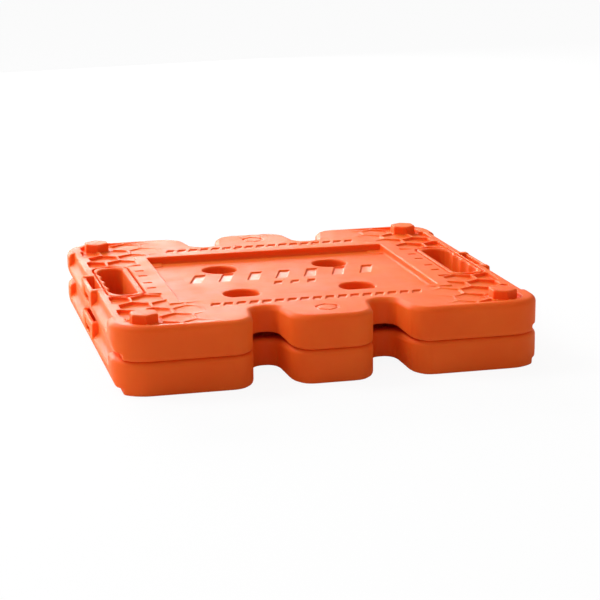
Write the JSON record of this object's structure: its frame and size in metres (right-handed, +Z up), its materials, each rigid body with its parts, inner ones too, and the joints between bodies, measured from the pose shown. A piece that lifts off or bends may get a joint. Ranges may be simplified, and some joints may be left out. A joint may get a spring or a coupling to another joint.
{
  "type": "stackable traction and jack base plates",
  "caption": "Stacked orange ribbed base plates with lobed edges, a sunk rectangular jack seat, stake holes, carry handles, a honeycomb tread and hexagonal locating pegs.",
  "frame": {"origin": "centre of the lower plate's footprint, on the ground", "axes": "+X runs from one carry handle to the other, +Y from one lobed edge to the other, +Z is up"},
  "size_m": [0.3328, 0.315, 0.058],
  "materials": {
    "moulded_nylon": "satin"
  },
  "bodies": {
    "lower": {"lower_plate": "moulded_nylon"},
    "upper": {"upper_plate": "moulded_nylon"}
  },
  "joints": [
    {"name": "lift_off", "type": "slide", "parent": "lower", "child": "upper", "axis": [0, 0, 1], "range_m": [0, 0.06]}
  ]
}
